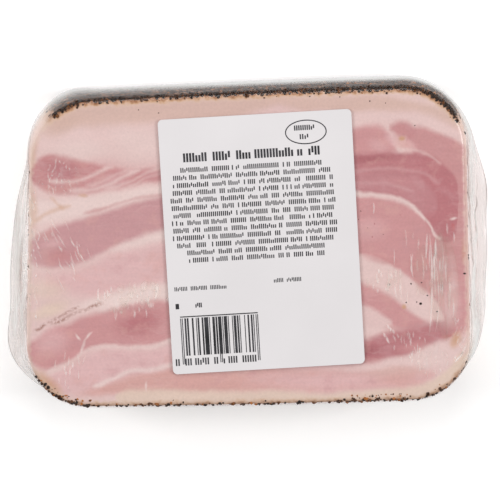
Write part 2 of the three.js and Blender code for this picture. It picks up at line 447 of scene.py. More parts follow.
# What marks the layers, as soft ovals: strength, middle, half sizes and turn.
BLUSHES = {
    # The middles of the muscles, where the lean is deepest.
    DEEP_LEAN: [(0.7, 36, 27.6, 18, 1.9, 0), (0.95, 34, -33.4, 14, 3, 8)],
    DARK_LEAN: [
        (0.9, -57, 25.6, 9, 5.6, -12), (0.9, -34.5, -22.4, 11, 5.6, 12),
        (0.5, 64.2, 16, 3.6, 9, 12), (0.6, 59, 5.5, 3, 6, 20),
    ],
    RED_LEAN: [(0.7, -58, -0.8, 8, 3.2, 5), (0.5, 41.5, -4.4, 8, 2.2, -18)],
    # Their paler ends.
    ROSY_LEAN: [(0.25, 48, 19.6, 10, 2.6, -8), (0.75, 51, -32.2, 7, 2.6, 12)],
    PALE_LEAN: [
        (0.45, -42, 22.6, 9, 3.5, 8), (0.5, -60.5, 3.6, 5, 2.6, 18), (0.6, -61.5, -28, 8, 6, 20),
        (0.4, 38, 5.5, 9, 5, 0), (0.75, 63.6, -19, 5, 13, 0), (0.7, 46.5, 33, 4.5, 2.6, -45),
        (0.4, 42, 31.6, 5, 3, -20), (0.8, 51.5, 31.2, 3.8, 2.6, -30),
    ],
    # Harder white fat, flecks of sinew, and fat that has dried to cream near the rind.
    WHITE_FAT: [
        (0.5, -32, 35, 14, 7, 0), (0.4, -51, 32.5, 13, 5, 0), (0.8, -37, -14.8, 14, 3, 14),
        (0.8, 65.2, 7.4, 1.8, 0.7, 10), (0.9, -52, -29.8, 0.8, 3.9, -18),
        (0.8, -50.2, -26.4, 0.6, 2, -40), (0.8, -53.6, -26.6, 0.6, 1.9, 35),
        (0.7, -32.6, -42.6, 0.6, 2.4, 0),
    ],
    SMOKED_FAT: [(0.8, -57, 41, 11, 5, 20), (0.4, 46, -40.5, 14, 3, 2)],
    SALMON_LEAN: [(0.6, 46, -43, 12, 3, 0), (0.6, 50, 31.6, 5, 3, -30)],
    CREAM_FAT: [(0.5, -63, -11, 9, 5.5, 0), (0.8, -62, -18, 9, 3.6, 22), (0.8, 66, -38, 3.4, 6, -35)],
    # Smoke and spice stains, and two spots of blood.
    TAN_STAIN: [
        (0.5, -50.5, 18.4, 2.4, 1, 0), (0.4, -66.4, 14, 2.6, 9, 0), (0.8, 49.2, -19.4, 1.2, 1, 0),
        (0.8, 49.6, 33.4, 1.6, 1.1, 0), (0.7, 64.8, -30.6, 2.4, 3.8, -30), (0.35, 68.4, -2, 1.6, 6, 0),
        (0.75, -63.8, -41.6, 4, 9, 42), (0.4, -66.2, 30, 2, 9, -14),
    ],
    RED_SPOT: [(0.7, 62.3, -29.6, 2.2, 0.8, 15), (0.8, 65, 5, 0.9, 1.5, 0)],
}
for tint, spots in BLUSHES.items():
    for strength, *spot in spots:
        colour = tinted(colour, tint, oval(from_above, *spot), strength)

# Membranes and gristle between the muscles: tint, strength, half thickness in mm, places. The brown
# ones are rows of dots just under a millimetre apart.
dots = add_node("TexNoise", Vector=to_mm, Scale=1 / 0.9, Detail=1.0)
dotted = add_node("MapRange", Value=dots, From_Min=0.34, From_Max=0.56, To_Max=0.95)
SEAMS = [
    (PINK_FAT, 0.8, 0.5, [(-60, 22.4), (-56, 22.2), (-50.5, 23), (-46.3, 25), (-42, 26.8)]),
    (PINK_FAT, 0.8, 0.5, [(-54, 19.8), (-48, 20), (-42, 21.6), (-38, 24.4), (-33.5, 26.2)]),
    (PINK_FAT, 0.65, 0.4, [(-43, 20.2), (-37, 22.4), (-31, 25), (-25, 26.6)]),
    (PINK_FAT, 0.6, 0.3, [(-49, 21.2), (-44, 22.6), (-40, 24.8), (-36, 26.4)]),
    (PINK_FAT, 0.6, 0.3, [(-36, 21.4), (-31, 23.4), (-27, 24.6), (-18, 26)]),
    (RED_LEAN, 0.6, 0.3, [(-50, 12.8), (-40.5, 15), (-36, 16.4), (-26.4, 17.8), (-20, 18.6)]),
    (TAN_STAIN, 0.4, 0.6, [(-65, 11.2), (-62, 12.8), (-59, 14.2), (-55.5, 15.2)]),
    (TAN_STAIN, 0.35, 0.6, [(-59.6, 17.2), (-58.6, 16), (-57.6, 14.9)]),
    (GRISTLE, dotted, 0.26, [(-66.5, -24.4), (-61.5, -21.6), (-56.5, -18.6), (-53.5, -17.4)]),
    (GRISTLE, dotted, 0.22, [(-61, -22.4), (-55.5, -19.6), (-51.2, -18.2), (-46, -15.9)]),
    (WHITE_FAT, 0.75, 0.7, [
        (-48.6, -42.2), (-44.1, -40.2), (-38.7, -38.1), (-31.4, -37.2), (-24.5, -36.2), (-5, -37),
    ]),
    (WHITE_FAT, 0.6, 0.7, [
        (-62, -37), (-56, -34), (-49, -30.6), (-38.4, -30.1), (-31.2, -29.6), (-24.6, -28.4),
        (-10, -27),
    ]),
    (WHITE_FAT, 0.75, 0.55, [
        (30, 17.4), (40, 16.2), (46, 15.1), (50, 13.6), (53.7, 10.5), (57, 6.6), (60, 2),
    ]),
    (WHITE_FAT, 0.45, 0.35, [(49, 29.9), (52.5, 29.9), (56.4, 28.9), (59.4, 26.4), (60.5, 25.2)]),
    (PALE_LEAN, 0.3, 0.5, [(30, 23.8), (40, 24), (50, 23.8), (56, 22.4), (60, 19)]),
    (PALE_LEAN, 0.3, 0.4, [(30, 20.2), (38, 19.8), (46, 18.8), (52, 16.6)]),
]
for tint, strength, half, places in SEAMS:
    # Each thins away to nothing past its ends.
    ends = [(places[0][0] - 2.5, places[0][1]), *places, (places[-1][0] + 2.5, places[-1][1])]
    widths = [-0.8, *[half] * len(places), -0.8]
    stations = [(x, y + width, y - width) for (x, y), width in zip(ends, widths)]
    colour, lean = paint_layer(colour, lean, tint, 0.5, strength, False, stations)


def streaks_of(place, sizes, detail, roughness):
    """Noise drawn out into streaks of about the given sizes, in millimetres along x, y and z."""
    scaled = add_node("VectorMath", "MULTIPLY", place, [1 / size for size in sizes])
    return add_node("TexNoise", Vector=scaled, Detail=detail, Roughness=roughness, Scale=1.0)


# Lean is mottled in patches of 6 mm, between purple and salmon, and grained along the layers in
# fibre bundles about 1.2 mm apart and 12 mm long.
mottle = add_node("TexNoise", Vector=to_mm, Scale=1 / 6, Detail=3.0, Roughness=0.6)
for tint, low, high in ((PURPLE_LEAN, 0.52, 0.72), (SALMON_LEAN, 0.48, 0.3)):
    share = add_node("MapRange", SMOOTHSTEP, mottle, low, high, To_Max=0.4)
    colour = tinted(colour, tint, share, lean)
grain = streaks_of(warped, (12, 1.2, 12), 4.0, 0.6)
grained = add_node("MapRange", Value=grain, From_Min=0.3, From_Max=0.7, To_Min=0.97, To_Max=1.03)
by_lean = add_node("Mix", {"data_type": "FLOAT"}, lean, in2=1.0, in3=grained)
colour = add_node("VectorMath", "SCALE", colour, Scale=by_lean)
# All of it, fat too, has soft streaks of 20 by 2.5 mm and a fine grit of cut cells of 0.8 mm.
streaks = streaks_of(warped, (20, 2.5, 20), 2.0, 0.5)
cells = add_node("TexNoise", Vector=to_mm, Scale=1 / 0.8, Detail=2.0)
for pattern, depth in ((streaks, 0.022), (cells, 0.035)):
    shade = add_node(
        "MapRange", Value=pattern, From_Min=0.3, From_Max=0.7, To_Min=1 - depth, To_Max=1 + depth
    )
    colour = add_node("VectorMath", "SCALE", colour, Scale=shade)

# Marbling: soft threads of fat under a millimetre thick, here and there in the lean.
marbling = streaks_of(warped, (11, 4, 11), 3.0, 0.6)
off_middle = add_node("Math", "SUBTRACT", marbling, 0.5)
off_middle = add_node("Math", "ABSOLUTE", off_middle)
threads = add_node("MapRange", SMOOTHSTEP, off_middle, 0.06, 0.0, To_Max=0.12)
here_and_there = add_node("MapRange", SMOOTHSTEP, clouds, 0.42, 0.56)
colour = tinted(colour, PINK_FAT, threads, lean, here_and_there)

# Cut vessels show as dark dots half a millimetre wide in the pale lean at the right.
vessels = add_node("TexVoronoi", Vector=from_above, Scale=1 / 3.4, Randomness=1.0).outputs["Distance"]
vessels = add_node("MapRange", SMOOTHSTEP, vessels, 0.12, 0.05, To_Max=0.6)
colour = tinted(colour, DEEP_LEAN, vessels, oval(from_above, 41, 6, 16, 11, -20))

# Towards the rind the fat dries to a yellowish cream, about 2 mm deep, and spice and smoke stain it
# tan for the last millimetre.
from_rind = add_node("Attribute", {"attribute_name": "from_rind"}).outputs["Fac"]
pepper = add_node("Attribute", {"attribute_name": "pepper"}).outputs["Fac"]
ragged = add_node("TexNoise", Vector=to_mm, Scale=1 / 1.8, Detail=3.0)
ragged_depth = add_node("Math", "MULTIPLY_ADD", ragged, -3.0, from_rind)
# The bare ends have dried less, and only at the very rim.
rim_depth = add_node("Math", "MULTIPLY_ADD", pepper, -1.3, ragged_depth)
dried = add_node("MapRange", SMOOTHSTEP, rim_depth, 0.1, -1.3)
how_dry = add_node("Math", "MULTIPLY_ADD", pepper, 0.3, 0.5)
colour = tinted(colour, CREAM_FAT, dried, how_dry)
for tint, outside, inside in ((TAN_STAIN, -0.2, -1.6), (PAPRIKA, -1.1, -2.0)):
    stain = add_node("MapRange", SMOOTHSTEP, rim_depth, outside, inside, To_Max=0.85)
    colour = tinted(colour, tint, stain, pepper)

# The rind itself: crushed pepper, paprika and smoke on brown skin, in crumbs about 1 mm across.
crumbs = add_node("TexVoronoi", Vector=to_mm, Scale=1 / 1.1, Randomness=1.0)
crumb_tone = add_node("SeparateXYZ", Vector=crumbs.outputs["Color"]).outputs["X"]
spice = add_node("ValToRGB", Fac=crumb_tone)
set_tones(spice, (0.3, "#24150c"), (0.74, "#3f2617"), (1.0, "#7c4e2b"))
bare = add_node("TexNoise", Vector=to_mm, Scale=1 / 4, Detail=3.0)
cover = add_node("Math", "MULTIPLY_ADD", pepper, 0.75, bare)
spiced = add_node("MapRange", SMOOTHSTEP, cover, 0.78, 0.98)
# It reaches over the edge by up to a millimetre where the pepper is thick.
skin = add_node("MapRange", SMOOTHSTEP, rim_depth, -2.1, -2.6)
rind_amount = add_node("Math", "MULTIPLY", spiced, skin)
colour = add_node("Mix", {"data_type": "RGBA"}, rind_amount, in6=colour, in7=spice).outputs[2]

relief = add_node("Math", "MULTIPLY", crumbs.outputs["Distance"], rind_amount)
relief = add_node("Math", "MULTIPLY_ADD", grain, 0.06, relief)
bump = add_node("Bump", Height=relief, Strength=0.4, Distance=0.0005)
# The crust is dull beside the wet flesh.
shine = add_node("Math", "MULTIPLY_ADD", rind_amount, -0.4, 0.5)
flesh = add_node(
    "BsdfPrincipled", Base_Color=colour, Normal=bump, Roughness=0.5, IOR=1.4, Specular_IOR_Level=shine
)
add_node("OutputMaterial", Surface=flesh)

slab_section = block_section(36, 4, 30, SLAB_EDGE, FILM_GAP, PACK_DEPTH - FILM_GAP)
bm = pressed_block(slab_section, slab_shape, "from_rind", "pepper")
finish_piece(bm, "bacon_slab", bacon, "film_over_bacon", "sealed_pack")

# The pepper on the rind.
# Coarsely crushed peppercorns, pressed into the rind before smoking. They are thick on the upper
# rind, thinner on the lower one, and a few stray pieces lie on the cut face.

GRAIN_SIZES = (0.28, 0.8)  # radius
UPPER_GRAINS = 1300
LOWER_GRAINS = 700
END_GRAINS = 60
RIM_GRAINS = [  # from x, to x, on the upper rim or not, how many, how far in on average
    (-60, 20, True, 560, 0.35),
    (18, 68, True, 640, 0.38),
    (-68, 66, False, 230, 0.4),
    (-66, -50, False, 60, 1.1),
    (30, 50, False, 70, 1.3),
]
RIM_LIMIT = 2.2
GRAIN_CORNERS = 12  # of one crushed grain
STRAY_GRAINS = [  # on the cut face: x, y, radius
    (51.2, -12.4, 0.42), (54.5, -12.1, 0.34), (56.2, -16.2, 0.38), (49.6, -18.2, 0.42),
    (54.1, -18.7, 0.6), (52.9, -18.2, 0.3), (44.6, -12.4, 0.26), (59.2, -21.4, 0.55),
    (68.0, -9.6, 0.5), (-32.4, 44.5, 0.36), (-26.2, 43.4, 0.3), (-26.6, 47.8, 0.42),
    (44.4, 44.6, 0.34), (39.5, 45.4, 0.4), (30.2, 46.9, 0.3), (53.4, 37.4, 0.3),
    (42.8, 3.4, 0.22), (36.0, 11.0, 0.26), (35.2, 8.4, 0.2), (38.0, 5.6, 0.18),
]

chance = random.Random(7)
crushed = []  # a few shapes of crushed grain
for _ in range(6):
    bm = bmesh.new()
    bmesh.ops.create_icosphere(bm, subdivisions=1, radius=1.0)
    for vert in bm.verts:
        vert.co *= chance.uniform(0.72, 1.15)
    mesh = bpy.data.meshes.new("crushed_grain")
    bm.to_mesh(mesh)
    bm.free()
    crushed.append(mesh)
grains = bmesh.new()
tones = []


def press_grain(spot, radius, tone):
    turn = Matrix.Rotation(
        chance.uniform(0, 2 * math.pi), 4, Vector((chance.gauss(0, 1), chance.gauss(0, 1), 1))
    )
    flat = Matrix.Diagonal((radius, radius * chance.uniform(0.6, 1), radius * chance.uniform(0.6, 1), 1))
    mesh = chance.choice(crushed).copy()
    mesh.transform(Matrix.Translation(spot) @ turn @ flat)
    grains.from_mesh(mesh)
    bpy.data.meshes.remove(mesh)
    tones.append(tone)


def beside(station):
    """A station's point, moved a little along the rind, with its outward direction and lean."""
    point, out, lean, _ = RIND[station]
    return point + chance.uniform(-0.5, 0.5) * Vector((-out.y, out.x)), out, lean


def side_spot(station, height, depth):
    """A place on the rind's side, depth below its surface, near a station."""
    point, out, lean = beside(station)
    across = 2 * (height - FILM_GAP - SLAB_EDGE) / (PACK_DEPTH - 2 * FILM_GAP - 2 * SLAB_EDGE) - 1
    step = -FILM_GAP + RIND_BULGE * max(1 - across * across, 0) + lean * (1 - height / PACK_DEPTH)
    over_edge = max(abs(height - PACK_DEPTH / 2) - (PACK_DEPTH / 2 - FILM_GAP - SLAB_EDGE), 0)
    step -= SLAB_EDGE - math.sqrt(max(SLAB_EDGE**2 - over_edge**2, 0))
    return Vector((*(point + out * (step - depth)), height))


def rim_spot(station, inward, on_front):
    """A place on a cut face's rim near a station, inward from the rind."""
    point, out, lean = beside(station)
    drop = SLAB_EDGE - math.sqrt(SLAB_EDGE**2 - max(SLAB_EDGE - inward, 0) ** 2)
    height = PACK_DEPTH - FILM_GAP - drop if on_front else FILM_GAP + drop
    step = -FILM_GAP - inward + lean * (1 - height / PACK_DEPTH)
    return Vector((*(point + out * step), height))


def scatter(count, wanted):
    while count:
        station = chance.randrange(STATIONS)
        if chance.random() > wanted(RIND[station][1]):
            continue
        height = chance.uniform(0.9, PACK_DEPTH - 0.9)
        radius = chance.uniform(*GRAIN_SIZES) * chance.uniform(0.75, 1)
        press_grain(side_spot(station, height, radius * chance.uniform(0.1, 0.5)), radius, chance.random())
        count -= 1


scatter(UPPER_GRAINS, lambda out: peppered(out) if out.y > 0 else 0)
scatter(LOWER_GRAINS, lambda out: peppered(out) if out.y < 0 else 0)
scatter(END_GRAINS, lambda out: 1 if abs(out.x) > 0.6 else 0)
for start, end, is_upper, count, usual in RIM_GRAINS:
    stations = [
        station
        for station, (point, out, _, _) in enumerate(RIND)
        if start < point.x < end and (out.y > 0.2 if is_upper else out.y < -0.2)
    ]
    while count:
        station = chance.choice(stations)
        if chance.random() > peppered(RIND[station][1]) * (1 if is_upper else 1.6):
            continue
        inward = min(chance.expovariate(1 / usual), RIM_LIMIT)
        radius = chance.uniform(*GRAIN_SIZES) * (1 if inward < 1.2 else 0.6)
        spot = rim_spot(station, inward, chance.random() < 0.72)
        # The crumbs furthest in are the brown and orange ones, and the lower rind has more of them.
        brown = 0.16 * inward + (0 if is_upper else 0.13)
        press_grain(spot, radius, min(chance.random() * 0.78 + brown, 1))
        count -= 1
for x, y, radius in STRAY_GRAINS:
    press_grain(Vector((x, y, PACK_DEPTH - FILM_GAP - 0.3 * radius)), radius, 0.3)
for mesh in crushed:
    bpy.data.meshes.remove(mesh)

grains.verts.ensure_lookup_table()
tone_layer = grains.verts.layers.float.new("tone")
for index, vert in enumerate(grains.verts):
    vert[tone_layer] = tones[index // GRAIN_CORNERS]

# Crushed black pepper: dull, near black husk, with broken faces in browns and a few orange crumbs
# of paprika.
peppercorn, tree = new_finish("crushed_black_pepper")
tone = add_node("Attribute", {"attribute_name": "tone"}).outputs["Fac"]
husk = add_node("ValToRGB", Fac=tone)
set_tones(husk, (0.4, "#24140b"), (0.66, "#452714"), (0.84, "#6e4424"), (1.0, "#b5733c"))
to_mm = place_in_mm()
# Wrinkles of the dried husk, about 0.3 mm apart.
wrinkle = add_node("TexNoise", Vector=to_mm, Scale=1 / 0.3, Detail=2.0)
bump = add_node("Bump", Height=wrinkle, Strength=0.5, Distance=0.0002)
body = add_node(
    "BsdfPrincipled", Base_Color=husk, Roughness=0.75, IOR=1.5, Specular_IOR_Level=0.15, Normal=bump
)
add_node("OutputMaterial", Surface=body)
finish_piece(grains, "pepper_grains", peppercorn, "film_over_bacon", "sealed_pack")

# The shrink film.
# Clear vacuum film, drawn tight over the slab and heat-shrunk. It lies flat on both cut faces, and
# at each end the two sides meet in a wing, milky where it is folded.

FILM_EDGE = 2.4
WING_HEIGHT = 14.0  # of the wings' middle above the back face
WING_SLIMNESS = 1.8  # 1 is a straight tent, more makes the wing flatter
WING_WAVE = 1.3  # rise and fall of a wing along its edge
WINGS = {  # reach, upper end and its fade, lower end and its fade, and where along the slab it starts
    -1: (5.5, 36, 38, -56, 30, 53.4, 65.4),
    1: (5.8, 48, 38, -47, 28, 54.6, 66.6),
}
MIDDLE_X = 0.64  # between the two wings


def film_shape(place, share, inset, height, across):
    point, _, _, along = place
    reach, top, top_fade, low, low_fade, start, full = WINGS[-1 if point.x < MIDDLE_X else 1]
    wing = smooth(top - point.y, 0, top_fade) * smooth(point.y - low, 0, low_fade)
    wing *= smooth(abs(point.x), start, full)
    wave = math.sin(along / 9.5) + 0.6 * math.sin(along / 4.1 + 1)
    step = -inset
    slack = 0.0
    if across is not None:
        middle = abs(across)
        span = PACK_DEPTH - FILM_EDGE - WING_HEIGHT if across > 0 else WING_HEIGHT - FILM_EDGE
        flatness = 1 + (WING_SLIMNESS - 1) * wing
        height = WING_HEIGHT + math.copysign(span * middle**flatness, across)
        height += WING_WAVE * wave * wing * (1 - middle) ** 2
        drawn = (1 - middle) ** 1.6
        step += RIND_BULGE * (1 - middle * middle) + wing * reach * (1 + 0.07 * wave) * drawn
        # Sharp creases run along the wing, and softer pleats from the slab out to its edge.
        crease = 0.5 - 2 * abs(noise.noise(Vector((along / 30, across * 5.0, 5.0))))
        crease += 0.4 * noise.noise(Vector((along / 18, across * 11.0, 2.0)))
        pleat = noise.noise(Vector((along / 3.4, across * 1.4, 1.0)))
        tucked = 4 * middle * (1 - middle)
        step += wing * tucked * (0.9 * crease + 0.5 * pleat)
        height += wing * tucked * 0.5 * crease
        slack = wing * (1 - middle**3)
    elif 0 < share < 1:
        near = smooth(abs(point.x * share), 38, 62) if share > 0.5 else 0
        ripple = noise.noise(Vector((point.x * share / 1.8, point.y * share / 14, height)))
        height -= (1 if height > PACK_DEPTH / 2 else -1) * (0.03 + 0.09 * near * (ripple + 0.5))
    # side: how much painted reflection of the room the film's side takes. It is none at the cut faces and
    # rises down the side, over a span that shifts along the slab.
    from_face = min(PACK_DEPTH - height, 8 * height)
    towards_right = smooth(point.x, -45, 0)
    side = smooth(from_face, 2 + 4 * towards_right, 28 - 9 * towards_right) if share == 1 else 0.0
    return step, height, (slack, side)


def coat_film(haze, tint, cast, roughness, straight_on, glancing, **relief):
    """The shaders of a clear film with an amount of haze from 0 to 1. The haze scatters the light
    onwards, so it doesn't shade what is under it. Clinging to the meat, the film mirrors under 3%
    straight on, and more at a glance, the same from either side."""
    shading = add_node("LightPath").outputs["Is Shadow Ray"]
    lit = add_node("Math", "SUBTRACT", 1.0, shading)
    haze = add_node("Math", "MULTIPLY", haze, lit)
    clear = add_node("BsdfTransparent", Color=srgb(tint))
    milk = add_node("BsdfDiffuse", Color=cast, **relief)
    sheet = add_node("MixShader", None, haze, clear, milk)
    gloss = add_node("BsdfAnisotropic", Color=(1, 1, 1, 1), Roughness=roughness, **relief)
    glance = add_node("LayerWeight", Blend=0.5, **relief).outputs["Facing"]
    glance = add_node("Math", "POWER", glance, 5.0)
    mirror = add_node("Math", "MULTIPLY_ADD", glance, glancing, straight_on)
    surface = add_node("MixShader", None, mirror, sheet, gloss)
    add_node("OutputMaterial", Surface=surface)


# Polyolefin shrink film: clear and very glossy, faintly milky where two layers are welded or
# crumpled, with fine drawn wrinkles towards the ends. Its milky white also carries painted
# highlights on the wrinkles and a painted reflection down the sides.
film, tree = new_finish("clear_shrink_film")
to_mm = place_in_mm()
slack = add_node("Attribute", {"attribute_name": "slack"}).outputs["Fac"]
side = add_node("Attribute", {"attribute_name": "side"}).outputs["Fac"]

# Where it is crinkled, seen from above, its milky white there partly painted highlights: strength, middle,
# half sizes and turn of each patch.
CRINKLED_AND_GLINTING = [
    (0.16, -37, -15, 15, 6, 14),
    (0.14, 56, -36, 9, 6, 10),
    (0.12, 60, -18, 7, 20, 0),
    (0.10, -66, 0, 5, 34, 0),
    (0.08, -58, 24, 10, 8, 0),
]
axes = add_node("SeparateXYZ", Vector=to_mm)
from_above = add_node("CombineXYZ", X=axes.outputs["X"], Y=axes.outputs["Y"])
crinkle_and_glint = 0.0
for strength, *spot in CRINKLED_AND_GLINTING:
    crinkle_and_glint = add_node("Math", "MULTIPLY_ADD", oval(from_above, *spot), strength, crinkle_and_glint)
# Drawn wrinkles stand across the pack's length, about 1.1 mm apart and 9 mm long. They are raised by the
# bump, and whitened on their highs as painted highlights.
drawn = streaks_of(to_mm, (1.1, 9, 9), 3.0, 0.55)
wrinkles_and_glints = add_node("MapRange", SMOOTHSTEP, drawn, 0.44, 0.72, To_Max=1.8)
wrinkles_and_glints = add_node("Math", "MULTIPLY", wrinkles_and_glints, crinkle_and_glint)
# The slack wings are creased along their edge, every 3 mm or so.
creased = streaks_of(to_mm, (3, 40, 9), 2.0, 0.5)
creases = add_node("MapRange", SMOOTHSTEP, creased, 0.4, 0.66)
creases = add_node("Math", "MULTIPLY", creases, slack)
height = add_node("Math", "ADD", wrinkles_and_glints, creases)
bump = add_node("Bump", Height=height, Strength=0.5, Distance=0.0006)

# Seen at a glance down the side, it takes a painted reflection of the bright room: milky white that grows
# with the glance and hides what is behind it.
facing = add_node("LayerWeight", Blend=0.5).outputs["Facing"]
painted_glance_reflection = add_node("MapRange", SMOOTHSTEP, facing, 0.5, 0.88)
painted_glance_reflection = add_node("Math", "MULTIPLY", painted_glance_reflection, side)
# The milk is real haze on the slack and creased wings, plus a painted reflection down the sides and
# painted highlights on the wrinkles and crinkled patches.
haze_and_painted_light = 0.012
for pattern, strength in ((slack, 0.2), (creases, 0.42), (painted_glance_reflection, 0.92), (wrinkles_and_glints, 0.7), (crinkle_and_glint, 0.5)):
    haze_and_painted_light = add_node("Math", "MULTIPLY_ADD", pattern, strength, haze_and_painted_light)
# The wings are white. The sides, whose milk is mostly that painted reflection, are greyer.
bare_side = add_node("Math", {"operation": "SUBTRACT", "use_clamp": True}, side, slack)
cast = tinted(srgb("#dddcd9"), "#c6c6c5", bare_side)
# It mirrors most where it stands off the rough rind.
smoothness = add_node("Math", "MULTIPLY_ADD", side, 0.45, 0.2)
coat_film(haze_and_painted_light, "#fcfafa", cast, 0.18, 0.025, smoothness, Normal=bump)

film_section = block_section(36, 5, 44, FILM_EDGE, 0.0, PACK_DEPTH)
bm = pressed_block(film_section, film_shape, "slack", "side")
finish_piece(bm, "shrink_film", film, "film_over_bacon", "sealed_pack")

# The folds drawn in the film.
# As it shrinks over the face, the film gathers into short soft folds near the slab's ends. Each is
# a slim raised welt of doubled film, painted white along its crest as a highlight.

FOLD_BASE = PACK_DEPTH - 0.01
FOLD_RISE = 0.07
FOLD_ZONES = [  # middle, half sizes, count, shortest and longest, width, heading, its spread, strength of its painted highlight
    (-57.5, 24.0, 7, 5.5, 40, 0.9, 3.0, 0.34, 0, 45, 0.7),
    (-58.3, 0.5, 10, 10, 36, 1.4, 7.5, 0.3, 22, 14, 0.8),
    (-67.0, 2.0, 2.4, 22, 34, 1.0, 4.0, 0.34, 10, 25, 1.0),
    (-36.5, -15.0, 12, 5, 36, 1.4, 5.0, 0.5, -5, 10, 0.9),
    (-33.5, -14.0, 10, 4, 10, 2.0, 5.0, 1.2, -5, 10, 0.9),
    (-55.8, -37.0, 7, 6, 14, 1.5, 4.5, 0.4, 0, 12, 0.8),
    (52.4, -7.0, 10, 10, 26, 2.5, 11.0, 0.35, 0, 4, 0.8),
    (42.3, -10.1, 5, 4.5, 18, 1.2, 5.0, 0.5, 0, 6, 0.8),
    (44.7, -28.2, 3, 3, 7, 1.8, 4.0, 0.5, 18, 6, 1.0),
    (50.5, -32.1, 6, 4.5, 20, 1.2, 4.0, 0.34, 0, 6, 0.9),
    (56.0, -36.6, 6.5, 5, 30, 1.0, 3.2, 0.34, 0, 24, 0.65),
    (62.5, -12.0, 4.5, 18, 14, 3.5, 12.0, 0.42, 0, 4, 0.8),
    (66.8, -32.2, 2.5, 9, 18, 1.5, 5.0, 0.5, -25, 15, 1.0),
]
LONG_FOLDS = [  # middle, length, width, strength of its painted highlight
    (57.8, -13.0, 35, 0.5, 1.0), (59.8, -17.5, 24, 0.35, 0.8), (51.4, -6.8, 9, 0.4, 1.0),
    (55.2, -7.4, 9, 0.4, 1.0), (62.1, -9.0, 10, 0.4, 0.8), (40.1, 11.8, 4, 0.4, 1.2),
    (59.0, -13.0, 36, 2.6, 0.28), (64.4, -14.0, 34, 2.2, 0.4), (61.6, -6.0, 20, 1.6, 0.35),
    (54.0, -8.0, 16, 2.4, 0.2),
]

folds = bmesh.new()
highlight_ridge = folds.verts.layers.float.new("highlight_ridge")
draw = random.Random(12)


def lay_fold(x, y, length, width, heading, strength):
    """One fold of film, its middle at x, y. Heading is in degrees from straight up the face, and
    strength says how white the painted highlight along its crest is."""
    turn = math.radians(heading)
    ahead = Vector((-math.sin(turn), math.cos(turn), 0))
    aside = Vector((math.cos(turn), math.sin(turn), 0))
    bend = draw.uniform(-0.08, 0.08) * length
    welt = bmesh.ops.create_uvsphere(folds, u_segments=8, v_segments=8, radius=1.0)["verts"]
    under = [vert for vert in welt if vert.co.y < -0.01]
    bmesh.ops.delete(folds, geom=under, context="VERTS")
    for vert in welt:
        if not vert.is_valid:
            continue
        across, rise, onward = vert.co
        slim = 0.9 * width * across + bend * onward * onward
        vert.co = Vector((x, y, FOLD_BASE + FOLD_RISE * rise)) + ahead * onward * length / 2 + aside * slim
        vert[highlight_ridge] = strength * max(rise, 0.0) ** 1.5


for x, y, half_x, half_y, count, shortest, longest, width, heading, spread, strength in FOLD_ZONES:
    for _ in range(count):
        away = math.sqrt(draw.random())
        bearing = draw.uniform(0, 2 * math.pi)
        lay_fold(
            x + half_x * away * math.cos(bearing),
            y + half_y * away * math.sin(bearing),
            shortest + (longest - shortest) * draw.random() ** 2,
            width * draw.uniform(0.6, 1.2),
            draw.gauss(heading, spread / 2),
            strength,
        )
for x, y, length, width, strength in LONG_FOLDS:
    lay_fold(x, y, length, width, draw.uniform(-1.5, 1.5), strength)
bmesh.ops.recalc_face_normals(folds, faces=folds.faces)

# Doubled film: the same clear sheet, a little milky, with a painted highlight of white along the crest of
# the fold.
doubled, tree = new_finish("folded_shrink_film")
to_mm = place_in_mm()
# The painted highlight is patchy over about 5 mm, and on some folds all but clear.
highlight_patchiness = add_node("TexNoise", Vector=to_mm, Scale=1 / 5, Detail=2.0)
highlight_whiteness = add_node("MapRange", Value=highlight_patchiness, From_Min=0.35, From_Max=0.65, To_Min=0.12, To_Max=0.55)
crest = add_node("Attribute", {"attribute_name": "highlight_ridge"}).outputs["Fac"]
highlight_whiteness = add_node("Math", "MULTIPLY", highlight_whiteness, crest)
coat_film(highlight_whiteness, "#fbfaf8", srgb("#f6efed"), 0.32, 0.02, 0.1)
finish_piece(folds, "film_folds", doubled, "film_over_bacon", "sealed_pack")

# The label.
# A die-cut label of white thermal paper with rounded corners, pressed onto the film a little off
# square.

LABEL_SIZE = (60.3, 80.4)
LABEL_CORNER = 1.5
LABEL_BASE = PACK_DEPTH + 0.05  # on its glue
LABEL_TOP = LABEL_BASE + 0.25
LABEL_CENTRE = (4.79, 2.065, 0)
LABEL_TURN = math.radians(1.85)
ON_THE_PACK = Matrix.Translation(LABEL_CENTRE) @ Matrix.Rotation(LABEL_TURN, 4, "Z")

bm = bmesh.new()
bmesh.ops.create_cube(bm, size=1.0)
bmesh.ops.scale(bm, vec=(*LABEL_SIZE, LABEL_TOP - LABEL_BASE), verts=bm.verts)
bmesh.ops.translate(bm, vec=(0, 0, (LABEL_TOP + LABEL_BASE) / 2), verts=bm.verts)
upright = [edge for edge in bm.edges if abs(edge.verts[0].co.z - edge.verts[1].co.z) > 0.1]
bmesh.ops.bevel(
    bm, geom=upright, offset=LABEL_CORNER, segments=10, profile=0.5, affect="EDGES", material=-1
)
bmesh.ops.transform(bm, matrix=ON_THE_PACK, verts=bm.verts)
bmesh.ops.recalc_face_normals(bm, faces=bm.faces)

# Coated thermal paper: smooth and cool white, its coating faintly cloudy over about 25 mm.
paper, tree = new_finish("white_thermal_paper")
to_mm = place_in_mm()
cloudy = add_node("TexNoise", Vector=to_mm, Scale=1 / 25, Detail=3.0)
white = add_node("ValToRGB", Fac=cloudy)
set_tones(white, (0.3, "#dedadb"), (0.7, "#e2dedf"))
